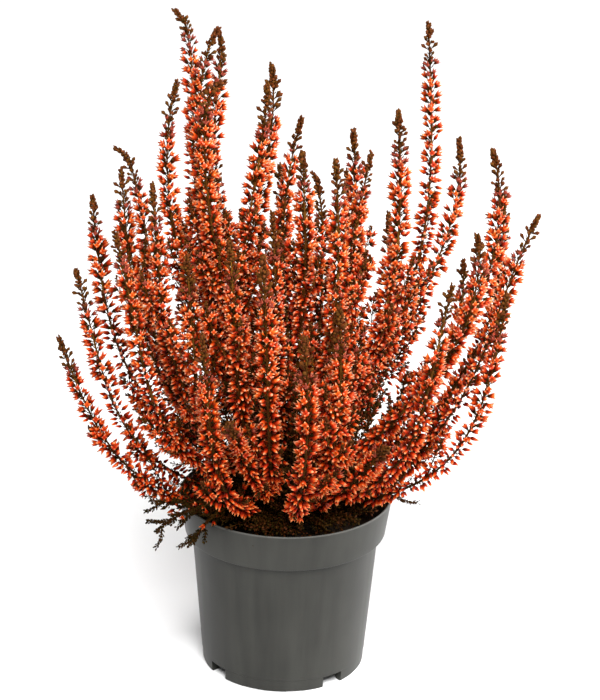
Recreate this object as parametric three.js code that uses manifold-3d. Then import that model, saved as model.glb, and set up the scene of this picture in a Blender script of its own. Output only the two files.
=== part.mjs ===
// Potted heather: a bushy, bud-flowering plant growing in a twelve centimetre nursery pot.
// Millimetres, +Z up. The origin lies on the pot's axis, on the surface that the pot stands on.
// -Y is the front. Seen from there, +X is to the right.

import * as THREE from "three";
import { mergeVertices } from "three/addons/utils/BufferGeometryUtils.js";
import Module from "manifold-3d";

const wasm = await Module();
wasm.setup();

// Pot, outside
const POT_HEIGHT = 103;
const RIM_RADIUS = 60;
const COLLAR_HEIGHT = 22;
const COLLAR_FOOT_RADIUS = 56.8;
const BODY_TOP_RADIUS = 52.8;
const BODY_FOOT_RADIUS = 46.2;
const FOOT_ROUNDING = 1.2;
const RIM_ROUNDING = 0.5;

// Pot, inside
const WALL = 1.2;
const FLOOR_UNDERSIDE = 7.6;
const FLOOR_THICKNESS = 1.4;
const FOOT_RING_WIDTH = 3.4;

// Cuts in the foot ring: four drain notches, and two shallow reliefs under each foot between them
const NOTCH_COUNT = 4;
const NOTCH_BEARING = 37.7;
const NOTCH_WIDTH = 12.8;
const NOTCH_TOP = 6.6;
const RELIEF_OFFSET = 16;
const RELIEF_WIDTH = 8.8;
const RELIEF_DEPTH = 0.9;

// Drain holes through the floor
const DRAIN_HOLE_RADIUS = 4.5;
const DRAIN_HOLE_CIRCLE = 31;
const DRAIN_HOLE_COUNT = 8;

// Clearance between pieces that touch
const SEAT_GAP = 0.3;

// Compost
const COMPOST_EDGE_HEIGHT = 86;
const COMPOST_MIDDLE_HEIGHT = 89;

// Woody crown: a root stock let into the compost, with a twig to each shoot
const STOCK_RADIUS = 9;
const STOCK_BOTTOM = 64;
const STOCK_TOP = 99;
const CROWN_HEART = 95;
const CROWN_REACH = 26;
const TWIG_BASE_RADIUS = 1.9;
const TWIG_END_RADIUS = 1.3;
const TWIG_SIDES = 5;
const TWIG_RINGS = 3;
const BARE_TWIG_RADIUS = 1.2;
const BARE_TWIG_RINGS = 6;

// Flower spikes: spindles along a curve that leaves the crown sideways and turns upright
const SPIKE_ROOT_RADIUS = 1.3;
const SPIKE_BODY_RADIUS = 2.2;
const SPIKE_TIP_RADIUS = 0.9;
const SPIKE_SIDES = 6;
const SPIKE_RINGS = 11;
const TIP_CROWDING = 1.5;
const SPREAD = 1.9;
const LOWEST_RISE = 15;
const ROOT_PULL = 0.48;
const TIP_PULL = 0.44;
const TIP_LEAN = [-0.08, 0, 1];

// Leafy shoots: short, flowerless, low round the rim
const LEAFY_BODY_RADIUS = 2.4;
const LEAFY_RINGS = 7;

const COLOURS = {
  pot: "#4f504c",
  compost: "#1f1812",
  wood: "#4a2c1c",
  flower: "#c4401f",
  leaf: "#3a3d1d",
};

// One row for each flower spike: where its tip stands. A row may also say how steeply the
// spike leaves the crown (rise, degrees), how far its root is turned from the tip's bearing
// (swing, degrees), and for a nodding tip which way it points (heading) and over what
// length it bends (nod).
const SPIKES = [
  // Left of the pot
  { tip: [-109, 20, 269] },
  { tip: [-114, -28, 243], heading: [-0.25, 0, 1] },
  { tip: [-124, -26, 204], rise: 7, swing: 9, heading: [-0.33, 0, 1], nod: 58 },
  { tip: [-91, -60, 276], heading: [-0.25, 0, 1] },
  { tip: [-96, 60, 240], heading: [-0.3, 0, 1] },
  { tip: [-91, -10, 294] },
  { tip: [-100, 65, 283], heading: [-1, 0, 0.15], nod: 24 },
  { tip: [-72, -50, 299] },
  // Tall group, left of the middle
  { tip: [-65, 35, 370], rise: 58, swing: 8, heading: [-1, 0, 0.45], nod: 26 },
  { tip: [-60, -25, 347], swing: -10, heading: [0.3, 0, 1], nod: 50 },
  { tip: [-40, 0, 369], rise: 69, heading: [0.6, 0, 1], nod: 38 },
  { tip: [-41, 45, 356], rise: 50, swing: 8, heading: [-0.6, 0, 1], nod: 16 },
  { tip: [-35, -45, 352], swing: -5, heading: [1, 0, 0.05], nod: 24 },
  { tip: [-44, 75, 282] },
  { tip: [-31, -80, 279] },
  { tip: [-29, 90, 240] },
  // Middle
  { tip: [-12, 15, 346], rise: 69, swing: 28, heading: [-0.15, 0, 1], nod: 60 },
  { tip: [-14, -5, 340], rise: 68, swing: 2, heading: [0, 0, 1], nod: 60 },
  { tip: [5, 55, 306], heading: [0.25, 0, 1] },
  { tip: [5, -25, 310] },
  { tip: [-7, 95, 266] },
  { tip: [-10, -45, 283] },
  { tip: [11, 25, 283], swing: -30, heading: [-1, 0, 0.4], nod: 9 },
  { tip: [22, -65, 318] },
  { tip: [33, 30, 307] },
  { tip: [31, 80, 268] },
  { tip: [42, -10, 306], heading: [0.2, 0, 1] },
  // Right of the pot
  { tip: [54, -40, 337] },
  { tip: [56, 85, 241] },
  { tip: [71, 20, 369], rise: 56 },
  { tip: [93, 60, 294], rise: 48, heading: [-0.15, 0, 1], nod: 55 },
  { tip: [108, 10, 302], heading: [-0.3, 0, 1], nod: 60 },
  { tip: [118, 45, 266] },
  { tip: [95, -70, 281], rise: 42, heading: [-0.2, 0, 1], nod: 50 },
  { tip: [128, -50, 285], rise: 24, heading: [0.45, 0, 1], nod: 70 },
  { tip: [113, -60, 246], heading: [0.1, 0, 1] },
  { tip: [83, -80, 257], heading: [0.2, 0, 1] },
  { tip: [103, -30, 205], heading: [0.6, 0, 1] },
  // Front
  { tip: [-14, -100, 277] },
  { tip: [25, -95, 250] },
  { tip: [8, -108, 238] },
  { tip: [22, -70, 232] },
  { tip: [-53, -75, 268] },
  { tip: [-30, -115, 193], rise: 30, heading: [-0.1, -1, 0.6], nod: 30 },
  { tip: [52, -95, 172], rise: 24, heading: [0.2, -1, 0.6], nod: 30 },
  { tip: [-44, -100, 235] },
  // Back
  { tip: [-85, 80, 215] },
  { tip: [-48, 108, 225] },
  { tip: [8, 115, 232] },
  { tip: [62, 105, 222] },
  { tip: [100, 78, 216] },
];

// Leafy shoots that lie over the rim
const LEAFY_SHOOTS = [
  { tip: [-75, -30, 110], rise: 17, swing: 14, heading: [-1, -0.1, 0.2], nod: 22 },
  { tip: [-70, -44, 98], rise: 20, swing: 14, heading: [-1, -0.6, -0.8], nod: 22 },
  { tip: [-50, -52, 94], rise: 24, swing: 12, heading: [-0.4, -0.5, -1], nod: 22 },
  { tip: [68, 34, 114], rise: 26, swing: 8, heading: [1, 0.5, 0.3], nod: 22 },
  { tip: [20, 76, 108], rise: 22, heading: [0.3, 1, 0.1], nod: 22 },
];

// Bare twigs of the crown that end free among the shoots
const BARE_TWIG_TIPS = [
  [30, -40, 112],
  [49, -30, 134],
];

const model = new THREE.Group();

// Adds one piece to the model.
function addPiece(name, geometry, colour, roughness) {
  const material = new THREE.MeshStandardMaterial({ color: colour, roughness, metalness: 0 });
  const mesh = new THREE.Mesh(geometry, material);
  mesh.name = name;
  model.add(mesh);
}

// Turns a profile of [radius, height] points round the Z axis.
function turned(profile, segments) {
  const points = profile.map(([radius, height]) => new THREE.Vector2(radius, height));
  return new THREE.LatheGeometry(points, segments).rotateX(Math.PI / 2);
}

// Makes a closed geometry into a solid that can be joined and cut.
function toSolid(geometry) {
  const bare = geometry.clone();
  bare.deleteAttribute("normal");
  bare.deleteAttribute("uv");
  const merged = mergeVertices(bare, 1e-4);
  const corners = Array.from(merged.index.array);
  const triangles = [];
  for (let i = 0; i < corners.length; i += 3) {
    const [a, b, c] = corners.slice(i, i + 3);
    if (a !== b && b !== c && c !== a) {
      triangles.push(a, b, c);
    }
  }
  return new wasm.Manifold(new wasm.Mesh({
    numProp: 3,
    vertProperties: new Float32Array(merged.attributes.position.array),
    triVerts: new Uint32Array(triangles),
  }));
}

// Gives a solid back as a geometry.
function toGeometry(solid) {
  const mesh = solid.getMesh();
  const geometry = new THREE.BufferGeometry();
  geometry.setAttribute("position", new THREE.BufferAttribute(mesh.vertProperties, 3));
  geometry.setIndex(new THREE.BufferAttribute(mesh.triVerts, 1));
  geometry.computeVertexNormals();
  return geometry;
}

// Unit direction from a bearing round the axis and a rise above the horizontal, in radians.
function direction(bearing, rise) {
  return new THREE.Vector3(
    Math.cos(rise) * Math.cos(bearing),
    Math.cos(rise) * Math.sin(bearing),
    Math.sin(rise),
  );
}

// Radius of the pot's outer wall at a height on its body.
function bodyRadius(height) {
  const share = height / (POT_HEIGHT - COLLAR_HEIGHT);
  return THREE.MathUtils.lerp(BODY_FOOT_RADIUS, BODY_TOP_RADIUS, share);
}

// A block across the foot ring at a bearing measured from the front, from the ground up.
function footCutter(bearing, width, top) {
  const length = 2 * FOOT_RING_WIDTH + 4;
  const depthBelow = 2;
  const block = new THREE.BoxGeometry(width, length, top + depthBelow);
  block.translate(0, -bodyRadius(0), (top - depthBelow) / 2);
  block.rotateZ(THREE.MathUtils.degToRad(bearing));
  return toSolid(block);
}

function makePot() {
  const collarBottom = POT_HEIGHT - COLLAR_HEIGHT;
  const floorTop = FLOOR_UNDERSIDE + FLOOR_THICKNESS;
  const ringInside = BODY_FOOT_RADIUS - FOOT_ROUNDING - FOOT_RING_WIDTH;
  const shell = toSolid(turned([
    [0, FLOOR_UNDERSIDE],
    [ringInside + 1, FLOOR_UNDERSIDE],
    [ringInside, 0],
    [bodyRadius(0) - FOOT_ROUNDING, 0],
    [bodyRadius(FOOT_ROUNDING), FOOT_ROUNDING],
    [BODY_TOP_RADIUS, collarBottom],
    [COLLAR_FOOT_RADIUS, collarBottom],
    [RIM_RADIUS, POT_HEIGHT - RIM_ROUNDING],
    [RIM_RADIUS - RIM_ROUNDING, POT_HEIGHT],
    [RIM_RADIUS - WALL, POT_HEIGHT],
    [COLLAR_FOOT_RADIUS - WALL, collarBottom + WALL],
    [BODY_TOP_RADIUS - WALL, collarBottom + WALL],
    [bodyRadius(floorTop) - WALL, floorTop],
    [0, floorTop],
  ], 72));

  let pot = shell;
  for (let i = 0; i < NOTCH_COUNT; i += 1) {
    const notch = NOTCH_BEARING + i * 360 / NOTCH_COUNT;
    const footMiddle = notch + 180 / NOTCH_COUNT;
    pot = pot.subtract(footCutter(notch, NOTCH_WIDTH, NOTCH_TOP));
    pot = pot.subtract(footCutter(footMiddle - RELIEF_OFFSET, RELIEF_WIDTH, RELIEF_DEPTH));
    pot = pot.subtract(footCutter(footMiddle + RELIEF_OFFSET, RELIEF_WIDTH, RELIEF_DEPTH));
  }
  for (let i = 0; i < DRAIN_HOLE_COUNT; i += 1) {
    const bearing = THREE.MathUtils.degToRad(NOTCH_BEARING + i * 360 / DRAIN_HOLE_COUNT);
    const drill = new THREE.CylinderGeometry(
      DRAIN_HOLE_RADIUS, DRAIN_HOLE_RADIUS, 4 * FLOOR_THICKNESS, 12,
    );
    drill.rotateX(Math.PI / 2);
    drill.translate(0, -DRAIN_HOLE_CIRCLE, FLOOR_UNDERSIDE + FLOOR_THICKNESS / 2);
    drill.rotateZ(bearing);
    pot = pot.subtract(toSolid(drill));
  }
  addPiece("pot", toGeometry(pot), COLOURS.pot, 0.5);
}

// The root stock: a lump of wood, half of it below the surface of the compost.
function stockProfile(clearance) {
  return [
    [0, STOCK_BOTTOM - clearance],
    [0.55 * STOCK_RADIUS + clearance, STOCK_BOTTOM - clearance],
    [STOCK_RADIUS + clearance, CROWN_HEART - 9],
    [STOCK_RADIUS + clearance, CROWN_HEART],
    [0.6 * STOCK_RADIUS + clearance, STOCK_TOP + clearance],
    [0, STOCK_TOP + clearance],
  ];
}

// The compost fills the pot up to a low mound, with a socket for the root stock.
function makeCompost() {
  const floorTop = FLOOR_UNDERSIDE + FLOOR_THICKNESS + SEAT_GAP;
  const shelf = POT_HEIGHT - COLLAR_HEIGHT + WALL + SEAT_GAP;
  const insideWall = WALL + SEAT_GAP;
  const collarShare = (COMPOST_EDGE_HEIGHT - POT_HEIGHT + COLLAR_HEIGHT) / COLLAR_HEIGHT;
  const edgeRadius = THREE.MathUtils.lerp(COLLAR_FOOT_RADIUS, RIM_RADIUS, collarShare);
  const fill = toSolid(turned([
    [0, floorTop],
    [bodyRadius(floorTop) - insideWall, floorTop],
    [BODY_TOP_RADIUS - insideWall, shelf],
    [COLLAR_FOOT_RADIUS - insideWall, shelf],
    [edgeRadius - insideWall, COMPOST_EDGE_HEIGHT],
    [0.5 * edgeRadius, COMPOST_MIDDLE_HEIGHT - 0.5],
    [0, COMPOST_MIDDLE_HEIGHT],
  ], 48));
  const socket = toSolid(turned(stockProfile(SEAT_GAP), 16));
  addPiece("compost", toGeometry(fill.subtract(socket)), COLOURS.compost, 0.95);
}

// A shoot's centreline. It leaves the crown on the tip's bearing, rising the less the
// further out the tip stands, and ends pointing up, or along its heading if it nods.
function centreline({ tip, rise, swing = 0, heading, nod }) {
  const end = new THREE.Vector3(...tip);
  const heart = new THREE.Vector3(0, 0, CROWN_HEART);
  const out = Math.hypot(tip[0], tip[1]);
  const steepness = Math.atan2(tip[2] - CROWN_HEART, out);
  const spread = Math.PI / 2 - SPREAD * (Math.PI / 2 - steepness);
  const lowest = THREE.MathUtils.degToRad(LOWEST_RISE);
  const leaving = rise === undefined ? Math.max(spread, lowest) : THREE.MathUtils.degToRad(rise);
  const bearing = Math.atan2(tip[1], tip[0]) + THREE.MathUtils.degToRad(swing);
  const away = direction(bearing, leaving);
  const root = heart.clone().addScaledVector(away, CROWN_REACH);
  const reach = root.distanceTo(end);
  const pointing = new THREE.Vector3(...(heading ?? TIP_LEAN));
  pointing.normalize();
  return new THREE.CubicBezierCurve3(
    root,
    root.clone().addScaledVector(away, ROOT_PULL * reach),
    end.clone().addScaledVector(pointing, -(nod ?? TIP_PULL * reach)),
    end,
  );
}

// Carries a turned profile of [radius, station] points along a curve. Stations run from
// 0 to rings and crowd towards the tip, where a shoot bends most. The ring at each station
// stands square to the curve, and is not twisted against the ring before it.
function carried(curve, profile, rings, sides) {
  const points = profile.map(([radius, station]) => new THREE.Vector2(radius, station));
  const geometry = new THREE.LatheGeometry(points, sides);
  const centres = [];
  const across = [];
  const beside = [];
  let normal = new THREE.Vector3(1, 0, 0);
  if (Math.abs(curve.getTangentAt(0).x) > 0.9) {
    normal = new THREE.Vector3(0, 1, 0);
  }
  for (let station = 0; station <= rings; station += 1) {
    const along = 1 - (1 - station / rings) ** TIP_CROWDING;
    const tangent = curve.getTangentAt(along);
    normal = normal.clone().addScaledVector(tangent, -normal.dot(tangent)).normalize();
    centres.push(curve.getPointAt(along));
    across.push(normal);
    beside.push(tangent.clone().cross(normal));
  }
  const position = geometry.attributes.position;
  for (let i = 0; i < position.count; i += 1) {
    const station = Math.round(position.getY(i));
    const place = centres[station].clone();
    place.addScaledVector(across[station], position.getZ(i));
    place.addScaledVector(beside[station], position.getX(i));
    position.setXYZ(i, place.x, place.y, place.z);
  }
  return geometry;
}

// A spindle: flat at the root, full in the lower half, drawn out to a point at the tip.
function spindle(curve, bodyRadiusLimit, rings) {
  const profile = [[0, 0], [SPIKE_ROOT_RADIUS, 0]];
  for (let station = 1; station < rings; station += 1) {
    const along = station / rings;
    const swell = Math.sin(Math.PI * Math.min(1, along * 1.6 + 0.15) / 2);
    const taper = THREE.MathUtils.smoothstep(along, 0.35, 1);
    const full = THREE.MathUtils.lerp(SPIKE_ROOT_RADIUS, bodyRadiusLimit, swell);
    profile.push([THREE.MathUtils.lerp(full, SPIKE_TIP_RADIUS, taper), station]);
  }
  profile.push([0, rings]);
  return carried(curve, profile, rings, SPIKE_SIDES);
}

// A twig of the crown, from inside the root stock to just short of a shoot's root.
function crownTwig(end, away) {
  const start = new THREE.Vector3(0, 0, CROWN_HEART - 4);
  const finish = end.clone().addScaledVector(away, -SEAT_GAP);
  const curve = new THREE.QuadraticBezierCurve3(
    start,
    finish.clone().addScaledVector(away, -0.5 * CROWN_REACH),
    finish,
  );
  const profile = [[0, 0], [TWIG_BASE_RADIUS, 0]];
  for (let station = 1; station <= TWIG_RINGS; station += 1) {
    const along = station / TWIG_RINGS;
    profile.push([THREE.MathUtils.lerp(TWIG_BASE_RADIUS, TWIG_END_RADIUS, along), station]);
  }
  profile.push([0, TWIG_RINGS]);
  return toSolid(carried(curve, profile, TWIG_RINGS, TWIG_SIDES));
}

// A bare twig ends free, drawn out to a point.
function bareTwig(tip) {
  const end = new THREE.Vector3(...tip);
  const heart = new THREE.Vector3(0, 0, CROWN_HEART);
  const bend = heart.clone().lerp(end, 0.6);
  bend.z += 5;
  const curve = new THREE.QuadraticBezierCurve3(heart, bend, end);
  const profile = [[0, 0], [BARE_TWIG_RADIUS, 0]];
  for (let station = 1; station < BARE_TWIG_RINGS; station += 1) {
    const along = station / BARE_TWIG_RINGS;
    profile.push([THREE.MathUtils.lerp(BARE_TWIG_RADIUS, 0.5, along), station]);
  }
  profile.push([0, BARE_TWIG_RINGS]);
  return toSolid(carried(curve, profile, BARE_TWIG_RINGS, TWIG_SIDES));
}

function makePlant() {
  const twigs = [];
  const addShoot = (name, row, bodyLimit, rings, colour) => {
    const curve = centreline(row);
    const away = curve.getTangentAt(0);
    twigs.push(crownTwig(curve.v0, away));
    addPiece(name, spindle(curve, bodyLimit, rings), colour, 0.7);
  };
  SPIKES.forEach((row, i) => {
    const name = `flower_spike_${String(i + 1).padStart(2, "0")}`;
    addShoot(name, row, SPIKE_BODY_RADIUS, SPIKE_RINGS, COLOURS.flower);
  });
  LEAFY_SHOOTS.forEach((row, i) => {
    addShoot(`leafy_shoot_${i + 1}`, row, LEAFY_BODY_RADIUS, LEAFY_RINGS, COLOURS.leaf);
  });

  let crown = toSolid(turned(stockProfile(0), 16));
  for (const twig of [...twigs, ...BARE_TWIG_TIPS.map(bareTwig)]) {
    crown = crown.add(twig);
  }
  addPiece("woody_crown", toGeometry(crown), COLOURS.wood, 0.85);
}

makePot();
makeCompost();
makePlant();

export default model;
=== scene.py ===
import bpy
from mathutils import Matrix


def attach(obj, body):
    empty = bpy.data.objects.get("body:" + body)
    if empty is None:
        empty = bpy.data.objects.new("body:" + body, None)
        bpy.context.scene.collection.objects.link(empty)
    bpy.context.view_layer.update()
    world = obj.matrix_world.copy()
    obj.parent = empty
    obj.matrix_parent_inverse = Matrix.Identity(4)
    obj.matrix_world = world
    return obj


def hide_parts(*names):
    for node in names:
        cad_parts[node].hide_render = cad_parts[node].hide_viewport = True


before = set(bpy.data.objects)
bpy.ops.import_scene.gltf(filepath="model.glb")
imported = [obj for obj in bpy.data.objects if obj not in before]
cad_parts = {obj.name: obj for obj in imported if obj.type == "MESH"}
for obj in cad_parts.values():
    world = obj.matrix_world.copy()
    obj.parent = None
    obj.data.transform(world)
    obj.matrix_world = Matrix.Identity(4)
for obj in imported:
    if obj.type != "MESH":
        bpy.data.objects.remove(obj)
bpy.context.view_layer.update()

import math
from collections import namedtuple

import bpy
import numpy as np
from mathutils import Matrix, Vector

# A potted heather in metres, +Z up, its front towards -Y. Every shoot follows the middle line
# of its solid in the frame. The bark, the buds, the leaves and the fine pot are added.

TURN = 2 * math.pi
GOLDEN_ANGLE = TURN * (3 - math.sqrt(5)) / 2
UP = np.array([0.0, 0.0, 1.0])

# Names that the frame gives
SPIKES = sorted(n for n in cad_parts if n.startswith("flower_spike_"))
LEAFY_SHOOTS = sorted(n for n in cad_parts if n.startswith("leafy_shoot_"))

# Crown
CROWN_HEART = np.array([0.0, 0.0, 0.095])
CROWN_REACH = 0.026
STOCK_RADIUS = 0.009
STOCK_TOP = 0.099
STOCK_BOTTOM = 0.064
BARE_TWIG_TIPS = np.array([[0.03, -0.04, 0.112], [0.049, -0.03, 0.134]])

# Stems: the radius at the root and at the tip
ROOT_RADIUS = 0.0008
SPIKE_STEM = (ROOT_RADIUS, 0.00045)
LEAFY_STEM = (ROOT_RADIUS, 0.0005)
SPRIG_STEM = (0.0005, 0.0003)
SIDE_SHOOT_STEM = (0.0004, 0.00022)
DRY_STEM = (0.0005, 0.0002)
BRANCH_STEM = (0.0018, ROOT_RADIUS)
BARE_TWIG_STEM = (0.0011, 0.0003)
# A stem's last ring is this share of its tip
BLUNTED = 0.6
# What grows on a stem starts this far from its middle line
SKIN = 0.0003

# Buds and flowers. A pair of numbers runs from the foot of a spike to its head.
BUD_LENGTH = 0.0051
BUD_HALF_WIDTH = 0.0011
FLOWER_LENGTH = 0.0049
FLOWER_HALF_WIDTH = 0.0018
SIZE_SHARES = (0.0, 0.35, 0.7, 0.9, 1.0)
SIZES = (1.0, 0.98, 1.06, 1.04, 0.7)
NODE_GAP = 0.00147
# Above 1, buds stand closer at the foot of a spike
CROWDING = 1.15
# In shares of the gap
PAIR_SLIP = 0.22
BUD_SLIP = 0.0005
BUD_SWAY = 0.33
FALLEN = 0.05
LEAN_SHARES = (0.0, 0.25, 0.55, 1.0)
LEANS = (118, 98, 70, 48)
LEAN_SPREAD = 12
DROOP = 0.3
PEDICEL_LENGTH = (0.0007, 0.0032)
PEDICEL_RADIUS = 0.00042
PEDICEL_RISE = 0.7
CALYX_SHARE = 0.6
# The shares of a spike between which buds give way to parted flowers
PARTING = (0.45, 0.82)
# Buds above this share of a spike are young, and take the brown strips of the map
YOUNG = 0.95
YOUNG_STRIPS = (0.03, 0.2)
FULL_STRIPS = (0.24, 0.97)

# An inner spike's tip is nearer to the plant's axis than this. It has more sprigs, and its
# buds begin at a higher share of its length.
INNER_REACH = 0.1
INNER_FIRST_BUDS = 0.21
OUTER_FIRST_BUDS = 0.13
SPIKE_SIZES = (0.95, 1.08)

# The knobbly head of young scale buds: its radius at shares of its length
HEAD_LENGTH = (0.007, 0.012)
HEAD_SHARES = (0.0, 0.35, 0.8, 1.0)
HEAD_RADII = (0.0016, 0.0021, 0.0018, 0.001)
HEAD_GAP = 0.00028
HEAD_LEANS = (58, 16)
# The head's last bud starts this far below the stem's tip
HEAD_DROP = 0.0012
HEAD_BUD_FILL = 0.86
HEAD_BUD_LENGTHS = (0.0016, 0.0032)
HEAD_BUD_HALF_WIDTH = 0.00098

# Stalked young buds between the flowers and the head
CLUB_ZONE = (0.009, 0.016)
CLUB_GAP = 0.0021
CLUB_SLIP = 0.0004
CLUB_LENGTH = 0.006
CLUB_HALF_WIDTH = 0.00112
CLUB_LEAN = 46
CLUB_TWIST = math.radians(76)

# Scale leaves: the gap between pairs, a leaf's length and half width, the strips of the map
# that they take, from green at 0 to brown at 1, and their lean in degrees
Leaves = namedtuple("Leaves", "gap length half_width strips lean")
STEM_LEAVES = Leaves(0.0027, 0.0023, 0.00056, (0.2, 0.75), 28)
NECK_LEAVES = Leaves(0.0015, 0.0024, 0.0006, (0.25, 0.8), 28)
SIDE_SHOOT_LEAVES = Leaves(0.0012, 0.0022, 0.0005, (0.3, 0.9), 28)
LEAFY_STEM_LEAVES = Leaves(0.001, 0.002, 0.0008, (0.0, 0.6), 36)
LEAFY_SIDE_LEAVES = Leaves(0.001, 0.0022, 0.0008, (0.0, 0.6), 28)
DRY_LEAVES = Leaves(0.002, 0.0027, 0.00072, (0.1, 1.0), 44)
LOOSE_DRY_LEAVES = Leaves(0.0033, 0.004, 0.00095, (0.1, 1.0), 44)
LEAF_THICKNESS = 0.55
LEAF_SLIP = 0.12

# Growths on a stem: how many, the shares of its length between which they stand, and their
# reach. None stands higher on it than a set length.
Growths = namedtuple("Growths", "count foot head reach")
SPIKE_SIDE_SHOOTS = Growths(4, 0.06, 0.38, 0.014)
LEAFY_SIDE_SHOOTS = Growths(16, 0.1, 0.95, 0.01)
LOW_SPRIGS = Growths(2, 0.1, 0.36, 0.026)
INNER_SPRIGS = Growths(7, 0.15, 0.66, 0.034)
HIGHEST_GROWTH = 0.135

# A leafy shoot's late buds, between two shares of its length
LATE_BUDS = (0.3, 0.8)
LATE_BUD_SIZE = 0.8
LATE_BUD_GAP = 0.0045

# A sprig's buds and head
SPRIG_BUD_SIZE = 0.94
SPRIG_BUD_GAP = 0.0017
SPRIG_FOOT = 0.003
SPRIG_NECK = 0.006
SPRIG_HEAD = 0.0055
SPRIG_HEAD_SIZE = 0.7

# Sprigs that fill gaps: for a spike's number, the share of its length where each sprig
# leaves it, and the place of the sprig's tip in millimetres
MILLIMETRES = 1000
CLOSING_SPRIGS = {
    1: [(0.2, (-87, 14, 146)), (0.24, (-91, 16, 154)), (0.28, (-95, 18, 165))],
    3: [(0.2, (-87, -24, 123)), (0.24, (-85, -27, 118)), (0.44, (-109, -27, 152))],
    4: [(0.2, (-71, -44, 153)), (0.24, (-75, -46, 162)), (0.28, (-80, -50, 168))],
    10: [(0.32, (-61, -13, 219))],
    27: [(0.36, (41, -8, 218))],
    31: [(0.24, (68, 37, 177)), (0.32, (77, 43, 194)), (0.36, (79, 46, 203))],
    32: [(0.2, (67, 12, 173))],
    35: [(0.24, (89, -34, 159))],
    38: [(0.32, (85, -25, 148))],
    50: [(0.2, (55, 74, 128)), (0.28, (59, 82, 133)), (0.4, (72, 93, 146))],
}

# Dry twigs: how many, and the reaches from the plant's axis and the heights of their ends
SHORT_TWIGS = 212
STANDING = ((0.008, 0.046), (0.108, 0.144))
LYING = ((0.04, 0.058), (0.098, 0.113))
TALL_TWIGS = 90
TALL_REACH = 0.062
TALL_TOPS = (0.135, 0.205)
FRONT_TWIGS = 52
FRONT_BEARINGS = (-165, -35)
LIP_REACHES = (0.047, 0.056, 0.0615)
LIP_HEIGHTS = (0.1, 0.103, 0.1065)
LEFT_TWIGS = 12
LEFT_BEARINGS = (168, 212)
LEFT_ENDS = ((0.045, 0.066), (0.108, 0.128))

# Pot, as the frame has it
POT_HEIGHT = 0.103
RIM_RADIUS = 0.06
COLLAR_HEIGHT = 0.022
COLLAR_FOOT_RADIUS = 0.0568
COLLAR_ROUNDING = 0.0007
BODY_TOP_RADIUS = 0.0528
BODY_FOOT_RADIUS = 0.0462
FOOT_ROUNDING = 0.0012
FOOT_RING_WIDTH = 0.0034
WALL = 0.0012
FLOOR_UNDERSIDE = 0.0076
FLOOR_TOP = 0.009
MOULD_LINE = 0.0072
NOTCH_BEARING = math.radians(37.7)
NOTCH_WIDTH = 0.0128
NOTCH_TOP = 0.0066
RELIEF_OFFSET = math.radians(16)
RELIEF_WIDTH = 0.0088
RELIEF_DEPTH = 0.0009
DRAIN_HOLE_RADIUS = 0.0045
DRAIN_HOLE_CIRCLE = 0.031
POT_SIDES = 240

# Compost
SEAT_GAP = 0.0003
COMPOST_RADIUS = 0.056
COMPOST_EDGE = 0.086
COMPOST_MIDDLE = 0.089
COMPOST_RINGS = 34
COMPOST_SIDES = 110
CRUMBS = 520

# Finishes, as places in each plant piece's list of materials
SEPAL, LEAF, BARK = range(3)

# Where each finish lies on the plant's map
SEPAL_BAND = (0.02, 0.58)
LEAF_BAND = (0.62, 0.78)
BARK_BAND = (0.82, 0.98)
# How far the bark's map runs from root to tip
BARK_RUN = (0.02, 0.98)
STRIP = 0.02


# Shapes

# faces holds four corners a row, with -1 last for a triangle; finish is one number a face.
Shape = namedtuple("Shape", "points faces uv finish")


def joined(shapes):
    """Several shapes as one, with their corners renumbered."""
    firsts = np.cumsum([0] + [len(s.points) for s in shapes[:-1]])
    faces = [np.where(s.faces < 0, -1, s.faces + n) for s, n in zip(shapes, firsts)]
    renumbered = [s._replace(faces=f) for s, f in zip(shapes, faces)]
    return Shape(*map(np.concatenate, zip(*renumbered)))


def scattered(shape, axes, places, strips):
    """Copies of a small shape. Copy k's points are axes[k], whose columns are its sideways,
    crossways and lengthways vectors, times the shape's points, plus places[k]. Its map
    moves sideways by strips[k]."""
    count, size = len(places), len(shape.points)
    points = np.einsum("kij,nj->kni", axes, shape.points) + places[:, None, :]
    shift = size * np.arange(count)[:, None, None]
    faces = np.where(shape.faces[None] < 0, -1, shape.faces[None] + shift)
    uv = np.repeat(shape.uv[None], count, axis=0)
    uv[:, :, 0] += strips[:, None]
    flat = points.reshape(-1, 3), faces.reshape(-1, 4), uv.reshape(-1, 2)
    return Shape(*flat, np.tile(shape.finish, count))


def tube(points, sides, uv, finish):
    """A tube of rings round a line, closed on one point at each end: a four cornered face
    between each two neighbours on neighbouring rings, and a fan at each end. The two end
    points come after the rings."""
    rings = len(points) // sides
    j = np.arange(sides)
    after = (j + 1) % sides
    ring = sides * np.arange(rings - 1)[:, None]
    here, beside = (ring + j).ravel(), (ring + after).ravel()
    walls = np.stack([here, beside, beside + sides, here + sides], 1)
    top = (rings - 1) * sides
    first = np.full(sides, rings * sides)
    none = np.full(sides, -1)
    foot = np.stack([first, after, j, none], 1)
    head = np.stack([first + 1, top + j, top + after, none], 1)
    faces = np.concatenate([walls, foot, head])
    return Shape(points, faces, uv, np.full(len(faces), finish))


def there_and_back(rings, sides):
    """For each corner of a tube's rings 0 to 1 and back to 0 once round, so that a map wraps
    round it with no seam, and a half for its two end points."""
    share = np.arange(sides) / sides
    return np.append(np.tile(1 - np.abs(2 * share - 1), rings), [0.5, 0.5])


def rings_and_poles(radius, height, angle, ends):
    """Points on rings round Z, then the two poles. radius and height have a row for each
    ring, of one number or one for each side, and ends are the heights of the poles."""
    corners = np.broadcast_arrays(radius * np.cos(angle), radius * np.sin(angle), height)
    poles = [[0, 0, ends[0]], [0, 0, ends[1]]]
    return np.concatenate([np.stack(corners, 2).reshape(-1, 3), poles])


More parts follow.
